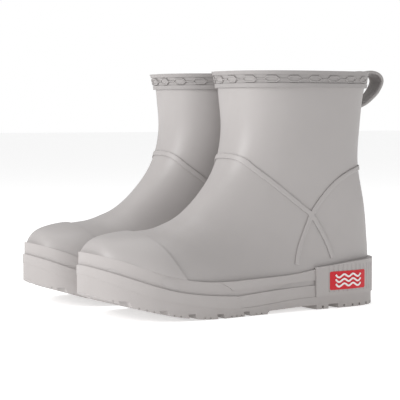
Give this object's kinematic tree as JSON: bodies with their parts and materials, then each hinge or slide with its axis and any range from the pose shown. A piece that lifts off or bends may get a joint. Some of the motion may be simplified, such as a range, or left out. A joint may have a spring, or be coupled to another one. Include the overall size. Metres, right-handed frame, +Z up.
{
  "type": "deck boots",
  "caption": "Pair of short rubber deck boots with grooved non-slip soles, ribbed heels, patterned collars, pull loops and loose footbeds.",
  "frame": {"origin": "on the ground, under the middle of the pair's bounding box", "axes": "+Z up, toes towards -Y, the wearer's left boot on the +X side"},
  "size_m": [0.229, 0.2996, 0.2073],
  "materials": {
    "upper_rubber": "satin",
    "trim_rubber": "satin",
    "sole_rubber": "satin",
    "knit_lining": "matte",
    "footbed_cloth": "matte",
    "board": "matte",
    "midsole_foam": "matte",
    "badge_red": "satin",
    "badge_white": "satin",
    "shank_steel": "brushed"
  },
  "bodies": {
    "left_boot": {"left_upper_shell": "upper_rubber", "left_lining": "knit_lining", "left_insole_board": "board", "left_toe_cap": "upper_rubber", "left_ankle_ribs": "upper_rubber", "left_collar_band": "trim_rubber", "left_pull_loop": "trim_rubber", "left_toe_bumper": "sole_rubber", "left_foxing": "sole_rubber", "left_heel_counter": "sole_rubber", "left_badge": "badge_red", "left_badge_mark": "badge_white", "left_shank": "shank_steel", "left_midsole": "midsole_foam", "left_outsole": "sole_rubber"},
    "left_footbed_body": {"left_footbed": "footbed_cloth"},
    "right_boot": {"right_upper_shell": "upper_rubber", "right_lining": "knit_lining", "right_insole_board": "board", "right_toe_cap": "upper_rubber", "right_ankle_ribs": "upper_rubber", "right_collar_band": "trim_rubber", "right_pull_loop": "trim_rubber", "right_toe_bumper": "sole_rubber", "right_foxing": "sole_rubber", "right_heel_counter": "sole_rubber", "right_badge": "badge_red", "right_badge_mark": "badge_white", "right_shank": "shank_steel", "right_midsole": "midsole_foam", "right_outsole": "sole_rubber"},
    "right_footbed_body": {"right_footbed": "footbed_cloth"}
  },
  "joints": [
    {"name": "right_boot_apart", "type": "slide", "parent": "left_boot", "child": "right_boot", "axis": [-1, 0, 0], "range_m": [0, 0.25]},
    {"name": "left_footbed_lift", "type": "hinge", "parent": "left_boot", "child": "left_footbed_body", "pos_m": [0.0633, -0.1332, 0.0328], "axis": [0.9994, 0.0349, 0], "range_deg": [0, 4]},
    {"name": "right_footbed_lift", "type": "hinge", "parent": "right_boot", "child": "right_footbed_body", "pos_m": [-0.0633, -0.1332, 0.0328], "axis": [0.9994, -0.0349, 0], "range_deg": [0, 4]}
  ]
}
